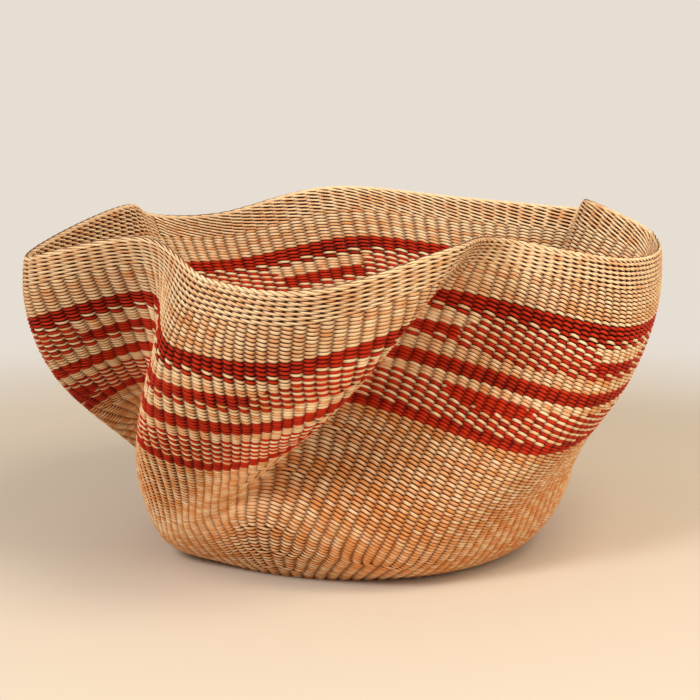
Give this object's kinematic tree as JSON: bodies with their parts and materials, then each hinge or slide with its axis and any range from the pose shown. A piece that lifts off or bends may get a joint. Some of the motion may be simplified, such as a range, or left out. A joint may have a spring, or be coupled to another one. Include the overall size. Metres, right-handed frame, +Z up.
{
  "type": "woven grass basket",
  "caption": "Wide open bolga basket of twined straw with a freeform waved rim, a flat round base and red stripes.",
  "frame": {"origin": "centre of the round base, on the floor that the basket stands on", "axes": "+Z up through the mouth; -Y towards the side with the large front lobe; +X towards the right lobe when that side is faced"},
  "size_m": [0.4658, 0.4671, 0.2499],
  "materials": {
    "natural_straw": "twisted dry grass straw, undyed, satin",
    "red_straw": "twisted grass straw dyed red, satin",
    "ticked_straw": "red and undyed straws twined together, so that they alternate as small ticks",
    "stake_straw": "grass straw stakes, undyed, in the shade of the weave"
  },
  "bodies": {
    "root": {"base_start": "natural_straw", "base_weave": "natural_straw", "foot_course": "natural_straw", "lower_bowl_course": "natural_straw", "middle_bowl_course": "natural_straw", "upper_bowl_course": "natural_straw", "red_stripe_4": "red_straw", "ticked_band_2": "ticked_straw", "straw_stripe_3": "natural_straw", "red_stripe_3": "red_straw", "straw_stripe_2": "natural_straw", "red_stripe_2": "red_straw", "straw_stripe_1": "natural_straw", "ticked_band_1": "ticked_straw", "red_stripe_1": "red_straw", "shoulder_course": "natural_straw", "waled_collar": "natural_straw", "rim_border": "natural_straw", "stake_01": "stake_straw", "stake_02": "stake_straw", "stake_03": "stake_straw", "stake_04": "stake_straw", "stake_05": "stake_straw", "stake_06": "stake_straw", "stake_07": "stake_straw", "stake_08": "stake_straw", "stake_09": "stake_straw", "stake_10": "stake_straw", "stake_11": "stake_straw", "stake_12": "stake_straw", "stake_13": "stake_straw", "stake_14": "stake_straw", "stake_15": "stake_straw", "stake_16": "stake_straw", "stake_17": "stake_straw", "stake_18": "stake_straw", "stake_19": "stake_straw", "stake_20": "stake_straw"}
  },
  "joints": []
}
